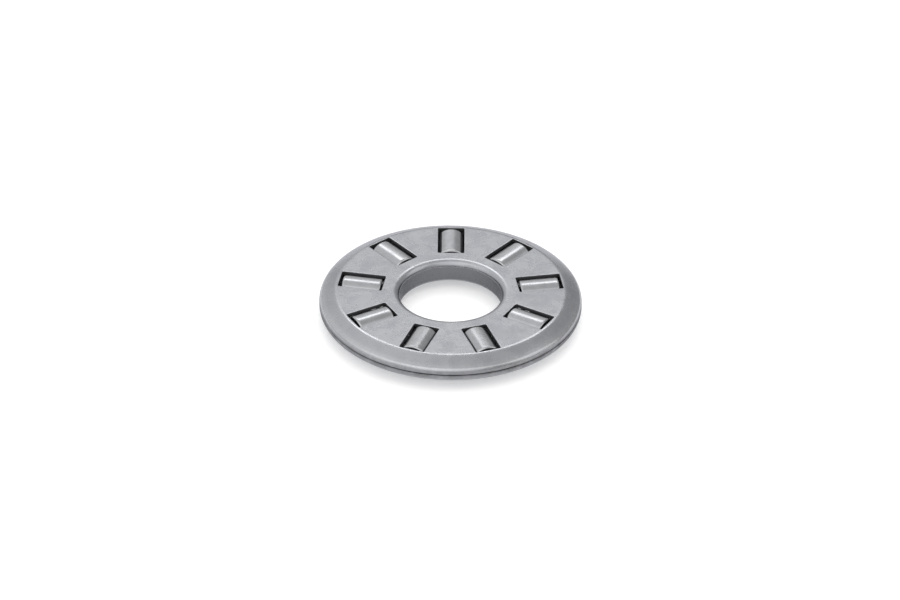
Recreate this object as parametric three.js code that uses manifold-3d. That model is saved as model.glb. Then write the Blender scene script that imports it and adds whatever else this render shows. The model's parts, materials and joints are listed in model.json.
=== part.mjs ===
// Thrust roller bearing: nine cylindrical rollers held by a cage pressed from two sheet steel halves.
// Millimetres, +Z along the bearing's axis, the origin at its centre.

import * as THREE from "three";
import { mergeVertices } from "three/addons/utils/BufferGeometryUtils.js";
import Module from "manifold-3d";

// Overall sizes.
const boreDiameter = 6.4;
const outerDiameter = 16.46;
const rollerDiameter = 1.984;
const rollerCount = 9;

// The sheet that both cage halves are pressed from, and its bends, measured on their inside.
const sheetThickness = 0.25;
const rimBendInside = 0.13;
const ridgeBendInside = 0.25;
const upperLipBendInside = 0.18;
const lowerLipBendInside = 0.37;
const rimSlopeDegrees = 28.5;
const rimSlopeWidth = 1.02;
const edgeBreak = 0.045;
const seamRound = 0.1;

// The clinch in the bore: the upper half's flange runs down inside the lower half's flange,
// and its end is spread outward under the lower half's lip, so that the halves can't part.
const flangeClearance = 0.01;
const clinchDegrees = 16;
const flangeTopGap = 0.22;
const seamGap = 0.02;

// The rollers in their pockets.
const crownHeight = 0.092;
const pocketSideClearance = 0.078;
const pocketInnerGap = 0.116;
const pocketOuterGap = 0.178;
const pocketInnerLand = 0.184;
const pocketOuterLand = 0.15;
const pocketCornerRadius = 0.08;
const rollerEndRadius = 0.14;

// Facets.
const cageSegments = rollerCount * 8;
const rollerSegments = 24;

// The same bends on their outside.
const rimBendRadius = rimBendInside + sheetThickness;
const ridgeBendRadius = ridgeBendInside + sheetThickness;
const upperLipBendRadius = upperLipBendInside + sheetThickness;
const lowerLipBendRadius = lowerLipBendInside + sheetThickness;

// Radii and heights of the cage.
const boreRadius = boreDiameter / 2;
const rimRadius = outerDiameter / 2;
const rollerRadius = rollerDiameter / 2;
const faceHeight = rollerRadius - crownHeight;
const sheetUnderside = faceHeight - sheetThickness;
const rimSlope = THREE.MathUtils.degToRad(rimSlopeDegrees);
const clinchAngle = THREE.MathUtils.degToRad(clinchDegrees);
const ridgeRadius = rimRadius - rimSlopeWidth;
const lowerFlangeRadius = boreRadius + sheetThickness + flangeClearance;
const lowerLipRadius = lowerFlangeRadius + lowerLipBendRadius;

// Radii of the pockets and of the rollers in them.
const pocketStart = lowerLipRadius + pocketInnerLand;
const pocketEnd = ridgeRadius - pocketOuterLand;
const pocketLength = pocketEnd - pocketStart;
const halfChordAtSheet = Math.sqrt(rollerRadius ** 2 - sheetUnderside ** 2);
const pocketWidth = 2 * (halfChordAtSheet + pocketSideClearance);
const rollerStart = pocketStart + pocketInnerGap;
const rollerEnd = pocketEnd - pocketOuterGap;
const rollerLength = rollerEnd - rollerStart;
const pitchRadius = (rollerStart + rollerEnd) / 2;

const cageSteel = new THREE.MeshStandardMaterial({ color: 0xb4b6bb, roughness: 0.42, metalness: 1 });
const rollerSteel = new THREE.MeshStandardMaterial({ color: 0xcfd1d4, roughness: 0.2, metalness: 1 });

const wasm = await Module();
wasm.setup();

// Points on an arc in the (radius, height) plane, the angles in degrees from the outward direction.
function arc(centreRadius, centreHeight, radius, fromDegrees, toDegrees, steps) {
  const points = [];
  for (let step = 0; step <= steps; step += 1) {
    const degrees = fromDegrees + ((toDegrees - fromDegrees) * step) / steps;
    const angle = THREE.MathUtils.degToRad(degrees);
    const across = centreRadius + radius * Math.cos(angle);
    const up = centreHeight + radius * Math.sin(angle);
    points.push(new THREE.Vector2(across, up));
  }
  return points;
}

// Bend centres of the rim: the slope is tangent to the ridge bend and to the rim bend.
const ridgeCentreRadius = ridgeRadius - ridgeBendRadius * Math.tan(rimSlope / 2);
const ridgeCentreHeight = faceHeight - ridgeBendRadius;
const rimCentreRadius = rimRadius - rimBendRadius;
const slopeAngle = 90 - rimSlopeDegrees;
const slopeEndRadius = rimCentreRadius + rimBendRadius * Math.sin(rimSlope);
const slopeEndHeight = faceHeight - (slopeEndRadius - ridgeRadius) * Math.tan(rimSlope);
const rimCentreHeight = slopeEndHeight - rimBendRadius * Math.cos(rimSlope);

// The outside of the rim, from the rounded edge at the seam up over the slope to the flat face.
function rimOutside() {
  const seam = seamGap / 2;
  return [
    new THREE.Vector2(rimRadius - sheetThickness, seam),
    ...arc(rimRadius - seamRound, seam + seamRound, seamRound, -90, 0, 2),
    ...arc(rimCentreRadius, rimCentreHeight, rimBendRadius, 0, slopeAngle, 4),
    ...arc(ridgeCentreRadius, ridgeCentreHeight, ridgeBendRadius, slopeAngle, 90, 2),
  ];
}

// The inside of the rim, from the flat face back down to the wall.
function rimInside() {
  return [
    ...arc(ridgeCentreRadius, ridgeCentreHeight, ridgeBendInside, 90, slopeAngle, 1),
    ...arc(rimCentreRadius, rimCentreHeight, rimBendInside, slopeAngle, 0, 1),
  ];
}

// The upper half's bore lip, its long flange, and the flange's spread end.
function upperLip() {
  const bendRadius = boreRadius + upperLipBendRadius;
  const bendHeight = faceHeight - upperLipBendRadius;
  const spreadHeight = lowerLipBendRadius - faceHeight;
  const spreadInside = lowerLipBendRadius + flangeClearance;
  const spreadOutside = spreadInside + sheetThickness;
  const spreadEnd = 180 + clinchDegrees;
  return [
    ...arc(bendRadius, bendHeight, upperLipBendRadius, 90, 180, 5),
    ...arc(lowerLipRadius, spreadHeight, spreadOutside, 180, spreadEnd, 2),
    ...arc(lowerLipRadius, spreadHeight, spreadInside, spreadEnd, 180, 2),
    ...arc(bendRadius, bendHeight, upperLipBendInside, 180, 90, 3),
  ];
}

// The lower half's bore lip and its short flange, drawn face up.
function lowerLip() {
  const bendHeight = faceHeight - lowerLipBendRadius;
  const flangeEnd = upperLipBendRadius + flangeTopGap - faceHeight;
  const flangeBack = lowerFlangeRadius + sheetThickness;
  return [
    ...arc(lowerLipRadius, bendHeight, lowerLipBendRadius, 90, 180, 5),
    new THREE.Vector2(lowerFlangeRadius, flangeEnd + edgeBreak),
    new THREE.Vector2(lowerFlangeRadius + edgeBreak, flangeEnd),
    new THREE.Vector2(flangeBack - edgeBreak, flangeEnd),
    new THREE.Vector2(flangeBack, flangeEnd + edgeBreak),
    ...arc(lowerLipRadius, bendHeight, lowerLipBendInside, 180, 90, 3),
  ];
}

// A closed profile turned about the bearing's axis.
function turned(profile) {
  const closed = [...profile, profile[0].clone()];
  const geometry = new THREE.LatheGeometry(closed, cageSegments);
  geometry.rotateX(Math.PI / 2);
  return geometry;
}

// A solid that can be cut, from a closed geometry.
function solid(geometry) {
  const bare = geometry.clone();
  bare.deleteAttribute("normal");
  bare.deleteAttribute("uv");
  const welded = mergeVertices(bare, 1e-5);
  const vertProperties = new Float32Array(welded.getAttribute("position").array);
  const corners = Array.from(welded.getIndex().array);
  const triVerts = [];
  for (let first = 0; first < corners.length; first += 3) {
    const [a, b, c] = corners.slice(first, first + 3);
    if (a !== b && b !== c && c !== a) {
      triVerts.push(a, b, c);
    }
  }
  const mesh = new wasm.Mesh({ numProp: 3, vertProperties, triVerts: Uint32Array.from(triVerts) });
  return new wasm.Manifold(mesh);
}

// A named mesh from a cut solid.
function piece(name, body, material) {
  const result = body.getMesh();
  const geometry = new THREE.BufferGeometry();
  geometry.setAttribute("position", new THREE.BufferAttribute(new Float32Array(result.vertProperties), 3));
  geometry.setIndex(new THREE.BufferAttribute(new Uint32Array(result.triVerts), 1));
  geometry.computeVertexNormals();
  const mesh = new THREE.Mesh(geometry, material);
  mesh.name = name;
  return mesh;
}

// One pocket's cutter: a rectangle with rounded corners along +Y, through the upper face only.
function pocketCutter() {
  const half = pocketWidth / 2;
  const round = pocketCornerRadius;
  const shape = new THREE.Shape();
  shape.moveTo(-half + round, pocketStart);
  shape.lineTo(half - round, pocketStart);
  shape.absarc(half - round, pocketStart + round, round, -Math.PI / 2, 0, false);
  shape.lineTo(half, pocketEnd - round);
  shape.absarc(half - round, pocketEnd - round, round, 0, Math.PI / 2, false);
  shape.lineTo(-half + round, pocketEnd);
  shape.absarc(-half + round, pocketEnd - round, round, Math.PI / 2, Math.PI, false);
  shape.lineTo(-half, pocketStart + round);
  shape.absarc(-half + round, pocketStart + round, round, Math.PI, 1.5 * Math.PI, false);
  const depth = 2 * sheetThickness;
  const geometry = new THREE.ExtrudeGeometry(shape, { depth, bevelEnabled: false, curveSegments: 3 });
  geometry.translate(0, 0, faceHeight - 1.5 * sheetThickness);
  return geometry;
}

// A cage half, face up, with its pockets cut.
function cageHalf(lip) {
  let half = solid(turned([...rimOutside(), ...lip, ...rimInside()]));
  for (let index = 0; index < rollerCount; index += 1) {
    const cutter = pocketCutter();
    cutter.rotateZ((-2 * Math.PI * index) / rollerCount);
    half = half.subtract(solid(cutter));
  }
  return half;
}

// A roller lying along +Y, turned so that a facet faces up and another faces down.
function rollerGeometry() {
  const facetCorner = rollerRadius / Math.cos(Math.PI / rollerSegments);
  const half = rollerLength / 2;
  const flat = facetCorner - rollerEndRadius;
  const shoulder = half - rollerEndRadius;
  const profile = [
    new THREE.Vector2(0, -half),
    ...arc(flat, -shoulder, rollerEndRadius, -90, 0, 3),
    ...arc(flat, shoulder, rollerEndRadius, 0, 90, 3),
    new THREE.Vector2(0, half),
  ];
  const geometry = new THREE.LatheGeometry(profile, rollerSegments, Math.PI / rollerSegments);
  geometry.translate(0, pitchRadius, 0);
  return geometry;
}

const bearing = new THREE.Group();
bearing.name = "thrust_roller_bearing";

bearing.add(piece("upper_cage_half", cageHalf(upperLip()), cageSteel));

const lowerHalf = cageHalf(lowerLip()).mirror([0, 0, 1]);
bearing.add(piece("lower_cage_half", lowerHalf, cageSteel));

for (let index = 0; index < rollerCount; index += 1) {
  const geometry = rollerGeometry();
  geometry.rotateZ((-2 * Math.PI * index) / rollerCount);
  bearing.add(piece(`roller_${index + 1}`, solid(geometry), rollerSteel));
}

export default bearing;
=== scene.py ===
import json
import bmesh
import bpy
import numpy as np
from mathutils import Matrix, Vector


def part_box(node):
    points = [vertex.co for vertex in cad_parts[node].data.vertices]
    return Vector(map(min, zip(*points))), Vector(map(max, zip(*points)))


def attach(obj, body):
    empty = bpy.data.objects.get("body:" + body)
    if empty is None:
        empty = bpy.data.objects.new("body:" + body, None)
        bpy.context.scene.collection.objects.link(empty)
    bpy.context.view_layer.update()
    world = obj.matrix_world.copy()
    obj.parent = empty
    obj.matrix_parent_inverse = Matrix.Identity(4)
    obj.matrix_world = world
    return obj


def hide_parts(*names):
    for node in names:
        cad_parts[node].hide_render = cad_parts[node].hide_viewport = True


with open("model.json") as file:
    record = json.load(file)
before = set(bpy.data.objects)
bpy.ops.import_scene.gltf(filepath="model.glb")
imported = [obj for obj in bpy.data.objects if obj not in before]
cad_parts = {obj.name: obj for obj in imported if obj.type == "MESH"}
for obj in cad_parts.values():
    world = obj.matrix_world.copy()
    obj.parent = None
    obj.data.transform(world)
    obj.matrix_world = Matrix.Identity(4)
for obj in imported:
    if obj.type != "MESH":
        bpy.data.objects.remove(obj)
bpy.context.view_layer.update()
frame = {"record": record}

mm = 0.001
joinWithin = 0.0002 * mm      # mesh points nearer than this become one point
scene = bpy.context.scene
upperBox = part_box("upper_cage_half")
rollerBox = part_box("roller_1")
spins = {j["child"]: j for j in frame["record"]["behaviour"]["joints"]}
rollerNames = sorted(name for name in spins if name.startswith("roller_"))

# everything a user would change about the pressed cage, in millimetres and degrees
cage = dict(
    sheet=0.25,
    boreRadius=3.2,
    rimRadius=upperBox[1].x / mm,
    faceHeight=upperBox[1].z / mm,
    rimBend=0.38,
    ridgeBend=0.5,
    ridgeRadius=7.21,
    rimSlope=28.5,
    slopeBow=0.008,          # how far the drawn slope stands above straight at its middle
    seamGap=0.02,
    seamRound=0.1,
    innerEdge=0.015,
    upperLipBend=0.43,
    lowerLipBend=0.62,
    flangeClearance=0.01,
    flangeTopGap=0.22,
    flangeEdge=0.04,
    clinch=16.0,
    pocketWidth=1.656,
    pocketStart=4.264,
    pocketEnd=7.06,
    pocketCorner=0.08,
    dieRollWidth=0.034,      # the face sinks a little towards each pocket's cut edge
    dieRollDepth=0.004,
    cutEdge=0.016,
    stripEnd=7.18,           # the nine pocket strips meet the turned rim here, on the ridge bend
    arcSteps=48,
    sideSteps=30,
    cornerSteps=5,
)

# wear, painted highlights and painted shade on the cage, each strongest at one place: (strength,
# width in millimetres)
cageMarks = dict(
    rimCornerWearAndHighlight=(0.95, 0.13),
    slopeFootHighlight=(0.6, 0.17),
    slopeFootHighlightInset=0.03,     # its place, this far inward of where the slope starts
    ridge=(0.28, 0.09),
    upperLipWearAndHighlight=(0.2, 0.12),
    lowerLip=(0.5, 0.12),
    spreadEnd=(0.6, 0.04),
    windowEdge=(0.35, 0.03),
    seamPaintedShade=(1.5, 0.25),
    flangePaintedShade=(0.8, 0.1),
    seamPaintedShadeMost=0.85,
    wallFootPaintedShade=0.5,           # painted shade at the foot of a window's wall
    wallFootPaintedShadeFrom=0.6,       # it starts at this share of the sheet's depth
)

# the rollers, in millimetres
roller = dict(
    radius=rollerBox[1].z / mm,
    start=rollerBox[0].y / mm,
    end=rollerBox[1].y / mm,
    endRadius=0.14,
    endDome=0.012,
    crown=0.0015,
    around=96,
    along=40,
    endWear=0.8,             # polished band on each end radius, and where it lies
    endWearPlace=0.06,
    endPaintedShade=0.5,
    wrapShift=(9.7, 5.3),    # each roller takes its own stretch of the ground pattern
)

# bend centres of the rim in the (radius, height) plane: the slope is tangent to both bends
slope = np.radians(cage["rimSlope"])
ridgeR = cage["ridgeRadius"] - cage["ridgeBend"] * np.tan(slope / 2)
ridgeZ = cage["faceHeight"] - cage["ridgeBend"]
rimR = cage["rimRadius"] - cage["rimBend"]
slopeEndR = rimR + cage["rimBend"] * np.sin(slope)
slopeEndZ = cage["faceHeight"] - (slopeEndR - cage["ridgeRadius"]) * np.tan(slope)
rimZ = slopeEndZ - cage["rimBend"] * np.cos(slope)


def arcOf(centreR, centreZ, radius, fromDeg, toDeg, steps):
    # r = centreR + radius cos(a), z = centreZ + radius sin(a), a even between the two angles
    a = np.radians(np.linspace(fromDeg, toDeg, steps + 1))
    return np.stack([centreR + radius * np.cos(a), centreZ + radius * np.sin(a)], 1)


def joinPath(*parts):
    # the parts end to end, without the points that repeat
    path = np.concatenate([np.atleast_2d(p) for p in parts])
    step = np.linalg.norm(np.diff(path, axis=0), axis=1)
    return path[np.concatenate([[True], step > 1e-6])]


def bump(path, point, kind):
    # strength exp(-(distance to the point / width)^2) along the path
    strength, width = cageMarks[kind]
    return strength * np.exp(-((np.linalg.norm(path - point, axis=1) / width) ** 2))


def quadsOf(rows, cols, closed):
    # corner numbers of the quads between neighbouring rows and columns;
    # closed joins the last column to the first
    i = np.arange(rows - 1)[:, None]
    j = np.arange(cols if closed else cols - 1)[None, :]
    k = (j + 1) % cols
    here, above = i * cols, (i + 1) * cols
    return np.stack([here + j, here + k, above + k, above + j], -1).reshape(-1, 4)


def faceAt(r, inside):
    # height of the face at radius r: flat, then the ridge bend,
    # z = ridgeZ + sqrt(R^2 - (r - ridgeR)^2); inside is the same bend on the sheet's other side
    bend = cage["ridgeBend"] - (cage["sheet"] if inside else 0)
    return ridgeZ + np.sqrt(bend**2 - np.maximum(r - ridgeR, 0) ** 2)


def turnedStrip(path, steps, startDeg):
    # P(i, j) = (r_i cos t_j, r_i sin t_j, z_i), t_j = start + 360 j / steps
    t = np.radians(startDeg) + 2 * np.pi * np.arange(steps) / steps
    r, z = path[:, 0][:, None], path[:, 1][:, None]
    points = np.stack([r * np.cos(t), r * np.sin(t), z + 0 * t], -1)
    return points.reshape(-1, 3), quadsOf(len(path), steps, True)


def pocketOutline(offset):
    # a rounded rectangle about +Y, grown outward by offset; each corner is split at its middle,
    # so that point n always faces the same way whatever the offset is
    half = cage["pocketWidth"] / 2 + offset
    low, high = cage["pocketStart"] - offset, cage["pocketEnd"] + offset
    r = cage["pocketCorner"] + offset
    n = cage["cornerSteps"]
    corners = [
        (-half + r, low + r, 225),
        (half - r, low + r, 315),
        (half - r, high - r, 405),
        (-half + r, high - r, 495),
    ]
    counts = [cage["arcSteps"], cage["sideSteps"], cage["arcSteps"], cage["sideSteps"]]
    sections = []
    for side in range(4):
        x0, y0, a0 = corners[side]
        x1, y1, _ = corners[(side + 1) % 4]
        first = arcOf(x0, y0, r, a0, a0 + 45, n)
        last = arcOf(x1, y1, r, a0 + 45, a0 + 90, n)
        f = np.linspace(0, 1, counts[side] - 2 * n + 1)[1:-1, None]
        straight = first[-1] * (1 - f) + last[0] * f
        sections.append(np.concatenate([first, straight, last[:-1]]))
    return np.concatenate(sections)


def sectorOutline(inner, outer):
    # the 40 degree sector that one pocket lies in: inner arc, side, outer arc, side,
    # in the outline's order
    a, s = cage["arcSteps"], cage["sideSteps"]
    half = 180 / len(rollerNames)
    t = np.radians(np.linspace(90 + half, 90 - half, a + 1)[:-1])
    up = np.linspace(inner, outer, s + 1)[:-1]
    down = np.linspace(outer, inner, s + 1)[:-1]
    left, right = np.radians(90 + half), np.radians(90 - half)
    return np.concatenate([
        np.stack([inner * np.cos(t), inner * np.sin(t)], 1),
        np.stack([up * np.cos(right), up * np.sin(right)], 1),
        np.stack([-outer * np.cos(t), outer * np.sin(t)], 1),
        np.stack([down * np.cos(left), down * np.sin(left)], 1),
    ])


def pocketSection():
    # the cut through the sheet at a pocket's edge, from the face round to the underside:
    # rows of (how far from the edge, depth as a share of the sheet, share of the way to the sector)
    t, w, roll, cut = cage["sheet"], cage["dieRollWidth"], cage["dieRollDepth"], cage["cutEdge"]
    away = np.array([1.0, 0.985, 0.94, 0.84, 0.7, 0.55, 0.4, 0.25, 0.12, 0.04])
    face = np.stack([0 * away + w, 0 * away, away], 1)
    d = np.linspace(w, cut, 5)
    sink = np.stack([d, roll / t * (1 - (d - cut) / (w - cut)) ** 2, 0 * d], 1)
    a = np.radians(np.linspace(90, 180, 6))[1:]
    edge = np.stack([cut + cut * np.cos(a), (roll + cut - cut * np.sin(a)) / t, 0 * a], 1)
    wall = np.array([[0, 0.4, 0], [0, 0.7, 0], [0, 1 - cut / t, 0]])
    a = np.radians(np.linspace(180, 270, 4))[1:]
    below = np.stack([cut * (1 + np.cos(a)), 1 - cut / t * (1 + np.sin(a)), 0 * a], 1)
    under = np.stack([0 * away + w, 0 * away + 1, away], 1)[::-1]
    return np.concatenate([face, sink[1:], edge, wall, below, under])


def pocketStrip(inner, outer):
    # P(v, u) = (1 - share_v) outline(offset_v)(u) + share_v sector(u),
    # at depth_v between the sheet's two sides
    section = pocketSection()
    sector = sectorOutline(inner, outer)
    outlines = np.array([pocketOutline(offset) for offset in section[:, 0]])
    share = section[:, 2][:, None, None]
    flat = (1 - share) * outlines + share * sector
    r = np.linalg.norm(flat, axis=2)
    depth = section[:, 1][:, None]
    z = (1 - depth) * faceAt(r, False) + depth * faceAt(r, True)
    points = np.concatenate([flat, z[:, :, None]], 2)
    atEdge = section[:, 2] == 0
    inSheet = section[:, :2] * [1, cage["sheet"]]
    polish = bump(inSheet, [0.3 * cage["cutEdge"], 0], "windowEdge") * atEdge
    onWall = atEdge & (section[:, 0] < 0.5 * cage["cutEdge"])
    # painted shade on the lower part of each window's cut wall
    start = cageMarks["wallFootPaintedShadeFrom"]
    deep = np.clip((section[:, 1] - start) / (1 - start), 0, 1)
    shade = cageMarks["wallFootPaintedShade"] * onWall * deep
    marks = np.repeat(np.stack([polish, shade, 1.0 * onWall], 1), points.shape[1], axis=0)
    return points.reshape(-1, 3), quadsOf(points.shape[0], points.shape[1], True), marks


def rimPath():
    # inside of the rim from the underside down to the seam, its rounded edge,
    # then its outside back up to the face
    c = cage
    t = c["sheet"]
    top = 90 - c["rimSlope"]
    seam = c["seamGap"] / 2
    inFrom = np.degrees(np.arccos((c["stripEnd"] - ridgeR) / (c["ridgeBend"] - t)))
    outTo = np.degrees(np.arccos((c["stripEnd"] - ridgeR) / c["ridgeBend"]))
    small = c["innerEdge"]
    soft = c["seamRound"]
    inside = joinPath(
        arcOf(ridgeR, ridgeZ, c["ridgeBend"] - t, inFrom, top, 3),
        arcOf(rimR, rimZ, c["rimBend"] - t, top, 0, 6),
        arcOf(c["rimRadius"] - t + small, seam + small, small, 180, 270, 2),
    )
    edge = arcOf(c["rimRadius"] - soft, seam + soft, soft, 270, 360, 9)
    corner = arcOf(rimR, rimZ, c["rimBend"], 0, top, 16)
    ridge = arcOf(ridgeR, ridgeZ, c["ridgeBend"], top, outTo, 7)
    f = np.linspace(0, 1, 16)[1:-1, None]
    bow = c["slopeBow"] * 4 * f * (1 - f) * np.array([[np.sin(slope), np.cos(slope)]])
    face = corner[-1] * (1 - f) + ridge[0] * f + bow
    path = joinPath(inside, edge, corner, face, ridge)
    foot = corner[-1] - [cageMarks["slopeFootHighlightInset"], 0]
    # the rim corner and the ridge are painted brighter, partly wear and partly painted highlight;
    # the ring at the slope's foot is a painted highlight
    wearAndHighlight = bump(path, corner[12], "rimCornerWearAndHighlight") + bump(path, ridge[3], "ridge")
    wearAndHighlight = np.maximum(wearAndHighlight, bump(path, foot, "slopeFootHighlight"))
    # painted shade: the rim's wall is painted darker towards the seam between the halves
    paintedShade = np.minimum(bump(path, [c["rimRadius"], 0], "seamPaintedShade"), cageMarks["seamPaintedShadeMost"])
    return path, wearAndHighlight, paintedShade


def upperLipPath():
    # the lip, the long flange down the bore, its end spread under the lower lip, and back up behind
    c = cage
    bendR, bendZ = c["boreRadius"] + c["upperLipBend"], c["faceHeight"] - c["upperLipBend"]
    lowR = c["boreRadius"] + c["sheet"] + c["flangeClearance"] + c["lowerLipBend"]
    lowZ = c["lowerLipBend"] - c["faceHeight"]
    near = c["lowerLipBend"] + c["flangeClearance"]
    far = near + c["sheet"]
    end = 180 + c["clinch"]
    k = c["flangeEdge"]
    kDeg = np.degrees(k / far)
    lip = arcOf(bendR, bendZ, c["upperLipBend"], 90, 180, 14)
    spread = arcOf(lowR, lowZ, far, 180, end - kDeg, 6)
    back = arcOf(lowR, lowZ, near, end - kDeg, 180, 6)
    outward = np.array([[np.cos(np.radians(end)), np.sin(np.radians(end))]])
    tip = np.array([lowR, lowZ]) + outward * np.array([[far - k], [near + k]])
    inside = arcOf(bendR, bendZ, c["upperLipBend"] - c["sheet"], 180, 90, 6)
    drop = np.linspace(lip[-1], spread[0], 6)[1:-1]
    path = joinPath(lip, drop, spread, tip, back, inside)
    # the lip's bend is painted brighter: partly wear, partly painted highlight
    wearAndHighlight = bump(path, lip[4], "upperLipWearAndHighlight") + bump(path, spread[-1], "spreadEnd")
    return path, wearAndHighlight, 0 * wearAndHighlight


def lowerLipPath():
    # the same for the lower half, face up: its short flange ends under the upper lip
    c = cage
    flangeR = c["boreRadius"] + c["sheet"] + c["flangeClearance"]
    bendR, bendZ = flangeR + c["lowerLipBend"], c["faceHeight"] - c["lowerLipBend"]
    end = c["upperLipBend"] + c["flangeTopGap"] - c["faceHeight"]
    e = c["flangeEdge"]
    lip = arcOf(bendR, bendZ, c["lowerLipBend"], 90, 180, 14)
    tip = joinPath(
        arcOf(flangeR + e, end + e, e, 180, 270, 3),
        arcOf(flangeR + c["sheet"] - e, end + e, e, 270, 360, 3),
    )
    inside = arcOf(bendR, bendZ, c["lowerLipBend"] - c["sheet"], 180, 90, 6)
    path = joinPath(lip, tip, inside)
    # painted shade in the crevice where the upper half's spread flange wraps this lip
    return path, bump(path, lip[4], "lowerLip"), bump(path, lip[-1], "flangePaintedShade")


def cageHalf(lipPath, lipWearAndHighlight, lipPaintedShade):
    # two turned strips, the rim and the bore lip, joined by nine pocket strips that carry the
    # flats; marks holds each point's (wear with painted highlight, painted shade, cut)
    steps = len(rollerNames) * cage["arcSteps"]
    startDeg = 90 - 180 / len(rollerNames)
    points, faces, marks, base = [], [], [], 0
    for path, wearAndHighlight, paintedShade in (rimPath(), (lipPath, lipWearAndHighlight, lipPaintedShade)):
        p, q = turnedStrip(path, steps, startDeg)
        points.append(p)
        faces.append(q + base)
        marks.append(np.repeat(np.stack([wearAndHighlight, paintedShade, 0 * wearAndHighlight], 1), steps, axis=0))
        base += len(p)
    p, q, m = pocketStrip(lipPath[0, 0], cage["stripEnd"])
    for name in rollerNames:
        x, y, _ = spins[name]["axis"]
        turn = np.array([[y, x, 0], [-x, y, 0], [0, 0, 1]])   # carries +Y onto the roller's axis
        points.append(p @ turn.T)
        faces.append(q + base)
        marks.append(m)
        base += len(p)
    return np.concatenate(points), np.concatenate(faces), np.concatenate(marks)


def rollerShape():
    # P(s, a) = axis s + rho(s) (cos a up + sin a across):
    # a dome, an end radius, a barely crowned body, and back
    r, half, e = roller["radius"], (roller["end"] - roller["start"]) / 2, roller["endRadius"]
    flat = r - e
    domeR = np.linspace(0, flat, 7)
    dome = np.stack([domeR, -half + roller["endDome"] * (domeR / flat) ** 2], 1)
    corner = arcOf(flat, -half + roller["endDome"] + e, e, 270, 360, 9)
    s = np.linspace(corner[-1, 1], -corner[-1, 1], roller["along"])
    body = np.stack([r - roller["crown"] * (s / half) ** 4, s], 1)
    body[0] = corner[-1]
    first = np.concatenate([dome, corner[1:]])
    last = first[::-1] * [1, -1]
    return joinPath(first, body[1:-1], last)


def meshOf(name, points, faces, material, marks, uv=None, flip=False):
    # points in millimetres; marks is each point's (wear with painted highlight, painted shade,
    # cut);
    # doubles are merged so that strips join and poles close
    mesh = bpy.data.meshes.new(name)
    mesh.from_pydata((points * mm).tolist(), [], faces.tolist())
    for column, label in enumerate(("wearAndHighlight", "paintedShade", "cut")):
        values = marks[:, column].astype(np.float32)
        mesh.attributes.new(label, "FLOAT", "POINT").data.foreach_set("value", values)
    if uv is not None:
        mesh.uv_layers.new(name="wrap").data.foreach_set("uv", uv.astype(np.float32).ravel())
    made = bpy.data.objects.new(name, mesh)
    scene.collection.objects.link(made)
    weld(mesh, flip)
    mesh.materials.append(material)
    mesh.shade_smooth()
    return made


def weld(mesh, flip):
    work = bmesh.new()
    work.from_mesh(mesh)
    bmesh.ops.remove_doubles(work, verts=work.verts, dist=joinWithin)
    bmesh.ops.dissolve_degenerate(work, dist=1e-9, edges=work.edges)
    if flip:
        bmesh.ops.reverse_faces(work, faces=work.faces)
    work.to_mesh(mesh)
    work.free()


def newGroup(name, inputs, outputs):
    tree = bpy.data.node_groups.new(name, "ShaderNodeTree")
    for socket, kind, value in inputs:
        made = tree.interface.new_socket(name=socket, in_out="INPUT", socket_type=kind)
        if value is not None:
            made.default_value = value
    for socket, kind in outputs:
        tree.interface.new_socket(name=socket, in_out="OUTPUT", socket_type=kind)
    return tree, tree.nodes.new("NodeGroupInput"), tree.nodes.new("NodeGroupOutput")


def addNode(tree, kind, links=None, **values):
    # a node with its properties and inputs set, and its inputs linked from other sockets
    node = tree.nodes.new(kind)
    for key, value in values.items():
        if hasattr(node, key):
            setattr(node, key, value)
        else:
            node.inputs[key.replace("_", " ")].default_value = value
    for key, socket in (links or {}).items():
        tree.links.new(socket, node.inputs[key])
    return node


def mathNode(tree, operation, *args, clamp=False):
    node = tree.nodes.new("ShaderNodeMath")
    node.operation = operation
    node.use_clamp = clamp
    for n, arg in enumerate(args):
        if isinstance(arg, (int, float)):
            node.inputs[n].default_value = arg
        else:
            tree.links.new(arg, node.inputs[n])
    return node.outputs[0]


def noiseNode(tree, vector, scale, detail=2.0, rough=0.5, distortion=0.0):
    node = tree.nodes.new("ShaderNodeTexNoise")
    tree.links.new(vector, node.inputs["Vector"])
    settings = {"Scale": scale, "Detail": detail, "Roughness": rough, "Distortion": distortion}
    for socket, value in settings.items():
        if isinstance(value, (int, float)):
            node.inputs[socket].default_value = value
        else:
            tree.links.new(value, node.inputs[socket])
    return node.outputs["Fac"]


def rangeNode(tree, value, low, high, toLow, toHigh):
    node = tree.nodes.new("ShaderNodeMapRange")
    node.interpolation_type = "SMOOTHSTEP"
    tree.links.new(value, node.inputs["Value"])
    settings = {"From Min": low, "From Max": high, "To Min": toLow, "To Max": toHigh}
    for socket, number in settings.items():
        if isinstance(number, (int, float)):
            node.inputs[socket].default_value = number
        else:
            tree.links.new(number, node.inputs[socket])
    return node.outputs["Result"]


def mixNode(tree, share, a, b):
    node = tree.nodes.new("ShaderNodeMix")
    node.data_type = "RGBA"
    node.inputs[0].default_value = 0.0
    for socket, value in ((0, share), (6, a), (7, b)):
        if isinstance(value, bpy.types.NodeSocket):
            tree.links.new(value, node.inputs[socket])
        elif socket:
            node.inputs[socket].default_value = (*value, 1)
        else:
            node.inputs[socket].default_value = value
    return node.outputs[2]


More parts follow.
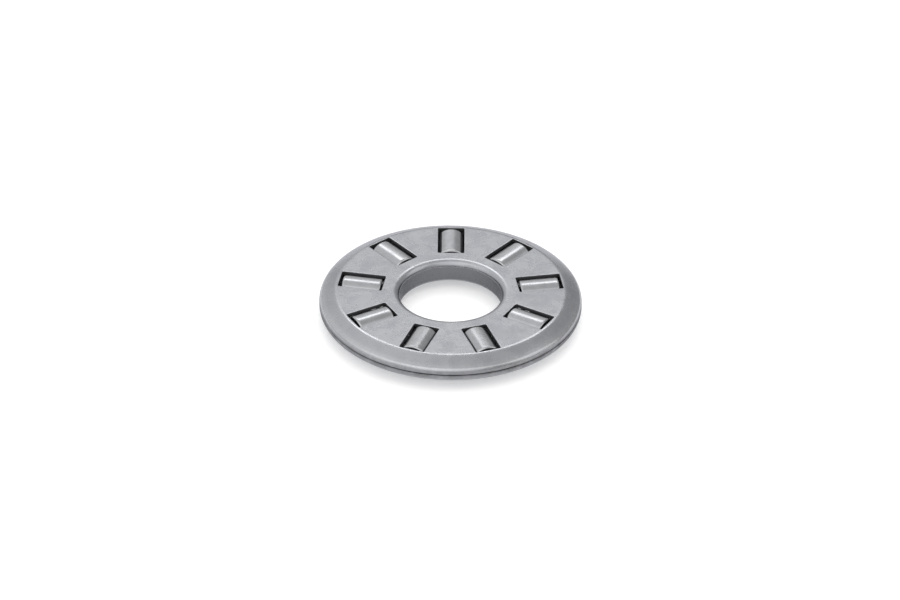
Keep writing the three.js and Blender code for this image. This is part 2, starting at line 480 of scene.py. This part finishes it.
def grainGroup():
    # metal grain: fine bumps, sparse pits, and slow clouds in the tone; sizes in metres
    tree, start, end = newGroup(
        "metalGrain",
        [
            ("Vector", "NodeSocketVector", None),
            ("Grain Size", "NodeSocketFloat", 6e-5),
            ("Cloud Size", "NodeSocketFloat", 1.2e-3),
        ],
        [("Grain", "NodeSocketFloat"), ("Pits", "NodeSocketFloat"), ("Clouds", "NodeSocketFloat")],
    )
    vector = start.outputs["Vector"]
    fineScale = mathNode(tree, "DIVIDE", 1.0, start.outputs["Grain Size"])
    fine = noiseNode(tree, vector, fineScale, 3.0, 0.6)
    cloudScale = mathNode(tree, "DIVIDE", 1.0, start.outputs["Cloud Size"])
    clouds = noiseNode(tree, vector, cloudScale, 4.0, 0.55, 0.6)
    pitScale = mathNode(tree, "MULTIPLY", fineScale, 0.42)
    placed = {"Vector": vector, "Scale": pitScale}
    pits = addNode(tree, "ShaderNodeTexVoronoi", placed, feature="F1")
    pitMask = rangeNode(tree, pits.outputs["Distance"], 0.08, 0.3, 1.0, 0.0)
    patches = noiseNode(tree, vector, mathNode(tree, "MULTIPLY", cloudScale, 3.0), 1.0)
    sparse = rangeNode(tree, patches, 0.5, 0.64, 0.0, 1.0)
    tree.links.new(fine, end.inputs["Grain"])
    tree.links.new(mathNode(tree, "MULTIPLY", pitMask, sparse), end.inputs["Pits"])
    tree.links.new(clouds, end.inputs["Clouds"])
    return tree


def scratchGroup():
    # handling scratches: thin bent lines, two directions, broken up so that few run far
    tree, start, end = newGroup(
        "handlingScratches",
        [
            ("Vector", "NodeSocketVector", None),
            ("Spacing", "NodeSocketFloat", 1.5e-3),
            ("Amount", "NodeSocketFloat", 0.5),
        ],
        [("Scratches", "NodeSocketFloat")],
    )
    found = None
    scale = mathNode(tree, "DIVIDE", 1.0, start.outputs["Spacing"])
    for turn, stretch, seed in ((0.6, 9.0, 0.0), (-1.1, 7.0, 3.7)):
        placed = addNode(tree, "ShaderNodeMapping", {"Vector": start.outputs["Vector"]})
        placed.inputs["Rotation"].default_value = (0.3 * seed, 0.2, turn)
        placed.inputs["Scale"].default_value = (1.0, stretch, 1.0)
        warp = noiseNode(tree, placed.outputs[0], scale, 2.0, 0.5, 0.25)
        line = mathNode(tree, "ABSOLUTE", mathNode(tree, "SUBTRACT", warp, 0.5 + 0.01 * seed))
        thin = rangeNode(tree, line, 0.0, 0.0045, 1.0, 0.0)
        finer = mathNode(tree, "MULTIPLY", scale, 2.3 + seed)
        gate = noiseNode(tree, start.outputs["Vector"], finer, 1.0)
        kept = mathNode(tree, "MULTIPLY", thin, rangeNode(tree, gate, 0.52, 0.6, 0.0, 1.0))
        found = kept if found is None else mathNode(tree, "MAXIMUM", found, kept)
    found = mathNode(tree, "MULTIPLY", found, start.outputs["Amount"])
    tree.links.new(found, end.inputs["Scratches"])
    return tree


def brokenMaskGroup():
    # wear with painted highlight, and painted shade: the piece's own attribute for each, broken up
    # by noise
    tree, start, end = newGroup(
        "brokenMask",
        [
            ("Vector", "NodeSocketVector", None),
            ("Edge", "NodeSocketFloat", 0.0),
            ("Break Size", "NodeSocketFloat", 4e-4),
        ],
        [("Broken", "NodeSocketFloat")],
    )
    scale = mathNode(tree, "DIVIDE", 1.0, start.outputs["Break Size"])
    rough = noiseNode(tree, start.outputs["Vector"], scale, 4.0, 0.65)
    spread = mathNode(tree, "MULTIPLY_ADD", rough, 1.1, 0.25)
    brokenMarks = mathNode(tree, "MULTIPLY", start.outputs["Edge"], spread, clamp=True)
    tree.links.new(brokenMarks, end.inputs["Broken"])
    return tree


def filmGroup():
    # a thin oil film: soft smears that change the gloss
    tree, start, end = newGroup(
        "oilFilm",
        [("Vector", "NodeSocketVector", None), ("Smear Size", "NodeSocketFloat", 2.5e-3)],
        [("Film", "NodeSocketFloat")],
    )
    scale = mathNode(tree, "DIVIDE", 1.0, start.outputs["Smear Size"])
    broad = noiseNode(tree, start.outputs["Vector"], scale, 3.0, 0.5, 1.2)
    tree.links.new(rangeNode(tree, broad, 0.42, 0.68, 0.0, 1.0), end.inputs["Film"])
    return tree


grain, scratches, brokenMask, oilFilm = grainGroup(), scratchGroup(), brokenMaskGroup(), filmGroup()


def useGroup(tree, group, links, **values):
    node = tree.nodes.new("ShaderNodeGroup")
    node.node_tree = group
    for key, value in values.items():
        node.inputs[key.replace("_", " ")].default_value = value
    for key, socket in links.items():
        tree.links.new(socket, node.inputs[key])
    return node.outputs


def newMaterial(name):
    material = bpy.data.materials.new(name)
    material.use_nodes = True
    tree = material.node_tree
    shader = tree.nodes["Principled BSDF"]
    return material, tree, shader


# finish of the pressed sheet: satin grey steel, tumbled, painted brighter on its bends (wear and
# painted highlight), with cut walls painted dark (dull finish and painted shade)
pressed = dict(
    tone=(0.5, 0.507, 0.528),
    cool=(0.462, 0.473, 0.502),
    edgeAndHighlightTone=(0.68, 0.686, 0.702),
    edgeShare=0.75,
    paintedShadeTone=(0.13, 0.13, 0.135),
    pitTone=(0.16, 0.16, 0.17),
    pitShare=0.5,
    boreDullAndShadeTone=(0.158, 0.161, 0.17),
    boreBand=np.array([0.06, 0.18]),   # its tone fades out between these distances past the bore
    cutDullAndShadeTone=(0.14, 0.141, 0.147),
    roughness=0.28,
    cloudRoughness=0.07,
    edgeRoughness=0.25,
    cutRoughness=0.62,
    rimTint=(0.6, 0.6, 0.62),
    grainSize=7e-5,
    grainBump=1.6e-6,
    cloudSize=1.1e-3,
    scratchSpacing=2.2e-3,
    scratchAmount=0.5,
    smearSize=3.2e-3,
    wearBreak=3.5e-4,
    paintedShadeBreak=6e-4,
    streakScale=90.0,
)


def pressedSteel():
    material, tree, shader = newMaterial("pressedSheetSteel")
    place = addNode(tree, "ShaderNodeTexCoord").outputs["Object"]
    sizes = dict(Grain_Size=pressed["grainSize"], Cloud_Size=pressed["cloudSize"])
    grains = useGroup(tree, grain, {"Vector": place}, **sizes)
    sizes = dict(Spacing=pressed["scratchSpacing"], Amount=pressed["scratchAmount"])
    marks = useGroup(tree, scratches, {"Vector": place}, **sizes)
    film = useGroup(tree, oilFilm, {"Vector": place}, Smear_Size=pressed["smearSize"])
    edge = addNode(tree, "ShaderNodeAttribute", attribute_name="wearAndHighlight").outputs["Fac"]
    sizes = dict(Break_Size=pressed["wearBreak"])
    brokenMarks = useGroup(tree, brokenMask, {"Vector": place, "Edge": edge}, **sizes)

    # draw marks: streaks up the rim and the flange, from a noise on the direction round the axis
    parts = addNode(tree, "ShaderNodeSeparateXYZ", {"Vector": place}).outputs
    around = addNode(tree, "ShaderNodeCombineXYZ", {"X": parts["X"], "Y": parts["Y"]})
    facing = addNode(tree, "ShaderNodeVectorMath", {0: around.outputs[0]}, operation="NORMALIZE")
    streak = noiseNode(tree, facing.outputs[0], pressed["streakScale"], 4.0, 0.65)
    outward = addNode(tree, "ShaderNodeTexCoord").outputs["Normal"]
    normal = addNode(tree, "ShaderNodeSeparateXYZ", {"Vector": outward})
    lying = mathNode(tree, "ABSOLUTE", normal.outputs["Z"])
    upright = rangeNode(tree, lying, 0.5, 0.9, 1.0, 0.0)

    clouds = rangeNode(tree, grains["Clouds"], 0.32, 0.7, 0.0, 1.0)
    tone = mixNode(tree, clouds, pressed["cool"], pressed["tone"])
    pits = mathNode(tree, "MULTIPLY", grains["Pits"], pressed["pitShare"])
    tone = mixNode(tree, pits, tone, pressed["pitTone"])
    # the wall of the bore is painted dark: partly a dull finish scuffed by the drawing punch and
    # the shaft, partly painted shade inside the bore
    reach = addNode(tree, "ShaderNodeVectorMath", {0: around.outputs[0]}, operation="LENGTH")
    near, far = (cage["boreRadius"] + pressed["boreBand"]) * mm
    inBore = rangeNode(tree, reach.outputs["Value"], float(near), float(far), 1.0, 0.0)
    steep = rangeNode(tree, lying, 0.05, 0.3, 1.0, 0.0)
    tone = mixNode(tree, mathNode(tree, "MULTIPLY", inBore, steep), tone, pressed["boreDullAndShadeTone"])
    # painted shade: the seam, the bottoms of the cut edges and the crevice under the spread flange
    # are painted darker
    paintedShade = addNode(tree, "ShaderNodeAttribute", attribute_name="paintedShade").outputs["Fac"]
    sizes = dict(Break_Size=pressed["paintedShadeBreak"])
    shadeMask = useGroup(tree, brokenMask, {"Vector": place, "Edge": paintedShade}, **sizes)["Broken"]
    tone = mixNode(tree, shadeMask, tone, pressed["paintedShadeTone"])
    # the windows' sheared walls are rough, and painted dark: partly a dull finish, partly painted
    # shade
    cut = addNode(tree, "ShaderNodeAttribute", attribute_name="cut").outputs["Fac"]
    tone = mixNode(tree, cut, tone, pressed["cutDullAndShadeTone"])
    # the bends are painted brighter: partly wear, partly painted highlight
    polished = mathNode(tree, "MULTIPLY", brokenMarks["Broken"], pressed["edgeShare"])
    tone = mixNode(tree, polished, tone, pressed["edgeAndHighlightTone"])
    tree.links.new(tone, shader.inputs["Base Color"])

    spread = pressed["cloudRoughness"]
    rough = mathNode(tree, "MULTIPLY_ADD", clouds, spread, pressed["roughness"] - spread / 2)
    # how much each effect adds to the roughness
    changes = [
        (film["Film"], -0.05),
        (grains["Pits"], 0.15),
        (marks["Scratches"], -0.1),
        (shadeMask, 0.15),
        (cut, pressed["cutRoughness"] - pressed["roughness"]),
        (brokenMarks["Broken"], pressed["edgeRoughness"] - pressed["roughness"]),
    ]
    for mask, amount in changes:
        rough = mathNode(tree, "MULTIPLY_ADD", mask, amount, rough)
    tree.links.new(rough, shader.inputs["Roughness"])

    height = grains["Grain"]
    streaks = mathNode(tree, "MULTIPLY", streak, upright)
    for mask, amount in [(grains["Pits"], -1.2), (marks["Scratches"], -0.8), (streaks, 1.0)]:
        height = mathNode(tree, "MULTIPLY_ADD", mask, amount, height)
    relief = addNode(tree, "ShaderNodeBump", {"Height": height})
    relief.inputs["Distance"].default_value = pressed["grainBump"]
    relief.inputs["Strength"].default_value = 1.0
    tree.links.new(relief.outputs["Normal"], shader.inputs["Normal"])
    shader.inputs["Metallic"].default_value = 1.0
    shader.inputs["Specular Tint"].default_value = (*pressed["rimTint"], 1)
    return material


# finish of the rollers: hardened, ground round and round, and polished
ground = dict(
    tone=(0.52, 0.527, 0.543),
    dull=(0.465, 0.472, 0.49),
    edgeAndHighlightTone=(0.68, 0.685, 0.7),
    edgeShare=0.5,
    roughness=0.22,
    lineRoughness=0.08,
    lineBump=5e-7,
    lineScale=26000.0,
    lineStretch=0.02,
    grainSize=5e-5,
    cloudSize=7e-4,
    scratchSpacing=1.4e-3,
    scratchAmount=0.4,
    smearSize=1.6e-3,
    wearBreak=2e-4,
    paintedShadeBreak=3e-4,
)


def groundSteel():
    material, tree, shader = newMaterial("groundRollerSteel")
    place = addNode(tree, "ShaderNodeTexCoord").outputs["Object"]
    wrap = addNode(tree, "ShaderNodeUVMap", uv_map="wrap").outputs["UV"]
    sizes = dict(Grain_Size=ground["grainSize"], Cloud_Size=ground["cloudSize"])
    grains = useGroup(tree, grain, {"Vector": place}, **sizes)
    sizes = dict(Spacing=ground["scratchSpacing"], Amount=ground["scratchAmount"])
    marks = useGroup(tree, scratches, {"Vector": place}, **sizes)
    film = useGroup(tree, oilFilm, {"Vector": place}, Smear_Size=ground["smearSize"])
    edge = addNode(tree, "ShaderNodeAttribute", attribute_name="wearAndHighlight").outputs["Fac"]
    sizes = dict(Break_Size=ground["wearBreak"])
    brokenMarks = useGroup(tree, brokenMask, {"Vector": place, "Edge": edge}, **sizes)

    # grinding lines run round the roller: the noise is long that way and short along the axis
    stretched = addNode(tree, "ShaderNodeMapping", {"Vector": wrap})
    stretched.inputs["Scale"].default_value = (ground["lineStretch"], 1.0, 1.0)
    lines = noiseNode(tree, stretched.outputs[0], ground["lineScale"], 3.0, 0.6)

    clouds = rangeNode(tree, grains["Clouds"], 0.3, 0.7, 0.0, 1.0)
    tone = mixNode(tree, clouds, ground["dull"], ground["tone"])
    polished = mathNode(tree, "MULTIPLY", brokenMarks["Broken"], ground["edgeShare"])
    tone = mixNode(tree, polished, tone, ground["edgeAndHighlightTone"])
    # painted shade on the roller end faces
    paintedShade = addNode(tree, "ShaderNodeAttribute", attribute_name="paintedShade").outputs["Fac"]
    sizes = dict(Break_Size=ground["paintedShadeBreak"])
    shadeMask = useGroup(tree, brokenMask, {"Vector": place, "Edge": paintedShade}, **sizes)["Broken"]
    tone = mixNode(tree, shadeMask, tone, pressed["paintedShadeTone"])
    tree.links.new(tone, shader.inputs["Base Color"])
    spread = ground["lineRoughness"]
    rough = mathNode(tree, "MULTIPLY_ADD", lines, spread, ground["roughness"] - spread / 2)
    for mask, amount in [(film["Film"], 0.05), (marks["Scratches"], 0.12)]:
        rough = mathNode(tree, "MULTIPLY_ADD", mask, amount, rough)
    tree.links.new(rough, shader.inputs["Roughness"])
    height = lines
    for mask, amount in [(marks["Scratches"], -0.8), (grains["Pits"], -1.0)]:
        height = mathNode(tree, "MULTIPLY_ADD", mask, amount, height)
    relief = addNode(tree, "ShaderNodeBump", {"Height": height})
    relief.inputs["Distance"].default_value = ground["lineBump"]
    tree.links.new(relief.outputs["Normal"], shader.inputs["Normal"])
    shader.inputs["Metallic"].default_value = 1.0
    return material


print("materials")
cageFinish = pressedSteel()
rollerFinish = groundSteel()


print("cage halves")
halves = [("upper_cage_half", upperLipPath(), False), ("lower_cage_half", lowerLipPath(), True)]
for name, lip, flip in halves:
    points, faces, marks = cageHalf(*lip)
    if flip:
        points = points * [1, 1, -1]
    half = meshOf(f"{name}_pressed", points, faces, cageFinish, marks, flip=flip)
    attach(half, "cage")
    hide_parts(name)

print("rollers")
shape = rollerShape()
around = roller["around"]
for number, name in enumerate(rollerNames):
    spin = spins[name]
    axis = np.array(spin["axis"])
    across = np.cross(axis, [0, 0, 1])
    a = 2 * np.pi * np.arange(around) / around
    middle = (roller["start"] + roller["end"]) / 2 * axis
    rho, s = shape[:, 0][:, None, None], shape[:, 1][:, None, None]
    circle = np.cos(a)[:, None] * np.array([0, 0, 1]) + np.sin(a)[:, None] * across
    points = (middle + s * axis + rho * circle).reshape(-1, 3)
    faces = quadsOf(len(shape), around, True)
    length = np.concatenate([[0], np.cumsum(np.linalg.norm(np.diff(shape, axis=0), axis=1))])
    i, j = np.divmod(np.arange((len(shape) - 1) * around), around)
    u = np.stack([j, j + 1, j + 1, j], 1) * 2 * np.pi * roller["radius"] / around
    v = np.stack([length[i], length[i], length[i + 1], length[i + 1]], 1)
    uv = (np.stack([u, v], -1) + number * np.array(roller["wrapShift"])) * mm
    # the end radii are polished bright, and the end faces are painted darker towards their middles:
    # painted shade in the narrow gap before each pocket's end
    nearEnd = np.abs(shape[:, 1]).max() - np.abs(shape[:, 1])
    place = roller["endWearPlace"]
    polished = roller["endWear"] * np.exp(-(((nearEnd - place) / place) ** 2))
    reach = roller["radius"] - 0.5 * roller["endRadius"]
    paintedShade = roller["endPaintedShade"] * np.clip(1 - shape[:, 0] / reach, 0, 1)
    marks = np.repeat(np.stack([polished, paintedShade, 0 * paintedShade], 1), around, axis=0)
    made = meshOf(f"{name}_ground", points, faces, rollerFinish, marks, uv=uv)
    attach(made, name)
    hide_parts(name)


print("studio")
studio = dict(
    floorHeight=rollerBox[0].z,
    floorSize=1.6,
    floorTone=(0.74, 0.74, 0.744),
    floorRoughness=0.9,
    floorSpecular=0.1,
    floorGlow=0.35,          # the sweep is lit from below as well, so that it stays white
    horizon=0.64,
    overhead=0.77,
    fadeUp=(0.3, 0.92),      # the glow changes between these sines of the elevation
    fadeAcross=0.7,
    leftShare=1.15,
    rightShare=0.63,
)

# name, azimuth (0 is behind the object, +Y; 90 is to the right), elevation,
# distance, width, height, brightness
lamps = [
    ("backWide", -6, 30, 0.34, 0.22, 0.14, 0.2),
    ("back", 0, 50, 0.32, 0.23, 0.072, 1.95),
    ("front", 180, 47, 0.32, 0.32, 0.36, 0.38),
    ("right", 98, 36, 0.32, 0.22, 0.27, 0.52),
    ("left", -110, 42, 0.32, 0.2, 0.24, 0.2),
]
# hidden from reflections, so it lights the floor and not the metal
floorLamp = ("floorLamp", 20, 71, 0.4, 0.4, 0.4, 1.68)


def softBox(name, azimuth, elevation, distance, width, height, brightness):
    # brightness is the lamp's own radiance; a flat lamp gives pi times that for each square metre
    a, e = np.radians(azimuth), np.radians(elevation)
    out = Vector((np.sin(a) * np.cos(e), np.cos(a) * np.cos(e), np.sin(e)))
    data = bpy.data.lights.new(name, "AREA")
    data.shape = "RECTANGLE"
    data.size, data.size_y = width, height
    data.energy = brightness * np.pi * width * height
    lamp = bpy.data.objects.new(name, data)
    lamp.location = out * distance
    lamp.rotation_mode = "QUATERNION"
    lamp.rotation_quaternion = out.to_track_quat("Z", "Y")
    lamp.visible_camera = False
    scene.collection.objects.link(lamp)
    return lamp


for lamp in lamps:
    softBox(*lamp)
softBox(*floorLamp).visible_glossy = False

floorMesh = bpy.data.meshes.new("floor")
h, z = studio["floorSize"] / 2, studio["floorHeight"]
floorMesh.from_pydata([(-h, -h, z), (h, -h, z), (h, h, z), (-h, h, z)], [], [(0, 1, 2, 3)])
floor = bpy.data.objects.new("floor", floorMesh)
scene.collection.objects.link(floor)
floorPaint, tree, shader = newMaterial("paleFloor")
shader.inputs["Base Color"].default_value = (*studio["floorTone"], 1)
shader.inputs["Roughness"].default_value = studio["floorRoughness"]
shader.inputs["Specular IOR Level"].default_value = studio["floorSpecular"]
shader.inputs["Emission Color"].default_value = (1, 1, 1, 1)
shader.inputs["Emission Strength"].default_value = studio["floorGlow"]
floorMesh.materials.append(floorPaint)

scene.world = scene.world or bpy.data.worlds.new("studio")
scene.world.use_nodes = True
worldTree = scene.world.node_tree
background = worldTree.nodes["Background"]
background.inputs["Color"].default_value = (1, 1, 1, 1)
# the room is a little brighter overhead than near the horizon, and brighter on the left
direction = addNode(worldTree, "ShaderNodeTexCoord").outputs["Generated"]
skyward = addNode(worldTree, "ShaderNodeSeparateXYZ", {"Vector": direction}).outputs
low, high = studio["fadeUp"]
glow = rangeNode(worldTree, skyward["Z"], low, high, studio["horizon"], studio["overhead"])
side = studio["fadeAcross"]
share = rangeNode(worldTree, skyward["X"], -side, side, studio["leftShare"], studio["rightShare"])
glow = mathNode(worldTree, "MULTIPLY", glow, share)
worldTree.links.new(glow, background.inputs["Strength"])
scene.view_settings.view_transform = "Standard"

# a very long lens, so that the view is nearly parallel
view = dict(
    elevation=33.886,
    roll=0.616,
    lens=800.0,
    widthSeen=56.46 * mm,
    aside=-0.0326 * mm,
    above=0.149 * mm,
)
e = np.radians(view["elevation"])
back = Vector((0, -np.cos(e), np.sin(e)))
lens = bpy.data.cameras.new("camera")
lens.lens = view["lens"]
lens.sensor_width = 36.0
distance = view["widthSeen"] * view["lens"] / lens.sensor_width
lens.clip_start, lens.clip_end = distance * 0.2, distance * 4
camera = bpy.data.objects.new("camera", lens)
camera.rotation_mode = "QUATERNION"
roll = Matrix.Rotation(np.radians(view["roll"]), 3, "Z").to_quaternion()
turn = back.to_track_quat("Z", "Y") @ roll
camera.rotation_quaternion = turn
aside, above = turn @ Vector((1, 0, 0)), turn @ Vector((0, 1, 0))
camera.location = back * distance + aside * view["aside"] + above * view["above"]
scene.collection.objects.link(camera)
bpy.context.scene.camera = camera
